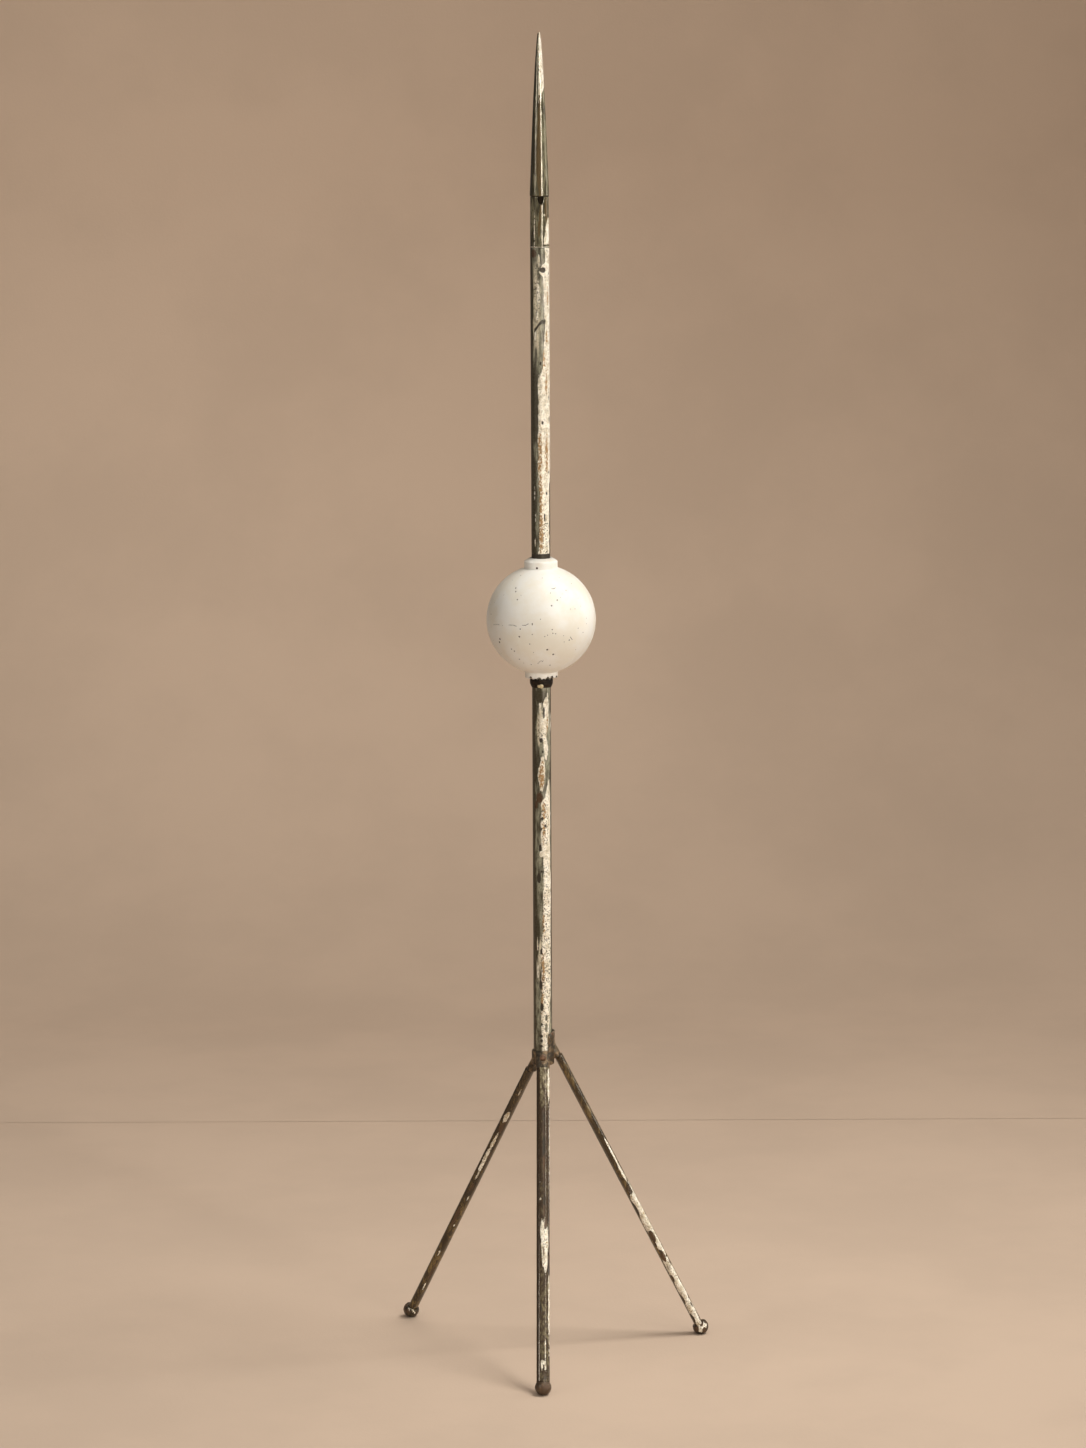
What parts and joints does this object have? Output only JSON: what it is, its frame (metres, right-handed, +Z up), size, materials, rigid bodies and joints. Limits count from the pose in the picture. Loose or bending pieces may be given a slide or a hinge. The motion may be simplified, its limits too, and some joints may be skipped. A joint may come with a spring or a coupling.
{
  "type": "lightning rod",
  "caption": "Free-standing lightning rod: painted tube with a tapered point and a white glass ball, on a splayed tripod with ball feet.",
  "frame": {"origin": "on the floor, at the middle of the box that the whole rod fits in; the tube's axis stands at x -12.06 mm, y 34.97 mm", "axes": "+Z up along the tube; -Y is the front, where the front leg points"},
  "size_m": [0.336, 0.3052, 1.4162],
  "materials": {
    "weathered_paint": "weathered cream paint over grey-green metal",
    "tube_paint": "peeling cream paint over grey-green and brown metal",
    "milk_glass": "glossy opaque milk glass with small pits",
    "black_iron": "black, rough",
    "pin_paint": "cream paint",
    "rusted_iron": "rust-brown casting",
    "rivet_copper": "coppery rust",
    "leg_paint": "worn olive and cream paint over dark iron",
    "foot_iron": "dark brown iron with scraps of cream paint"
  },
  "bodies": {
    "root": {"point": "weathered_paint", "ferrule": "weathered_paint", "rod_tube": "tube_paint", "glass_ball": "milk_glass", "ball_support": "black_iron", "support_pin": "pin_paint", "tripod_head": "rusted_iron", "rivet_front": "rivet_copper", "rivet_saddle": "rivet_copper", "leg_front": "leg_paint", "leg_left": "leg_paint", "leg_right": "leg_paint", "foot_front": "foot_iron", "foot_left": "foot_iron", "foot_right": "foot_iron"}
  },
  "joints": []
}
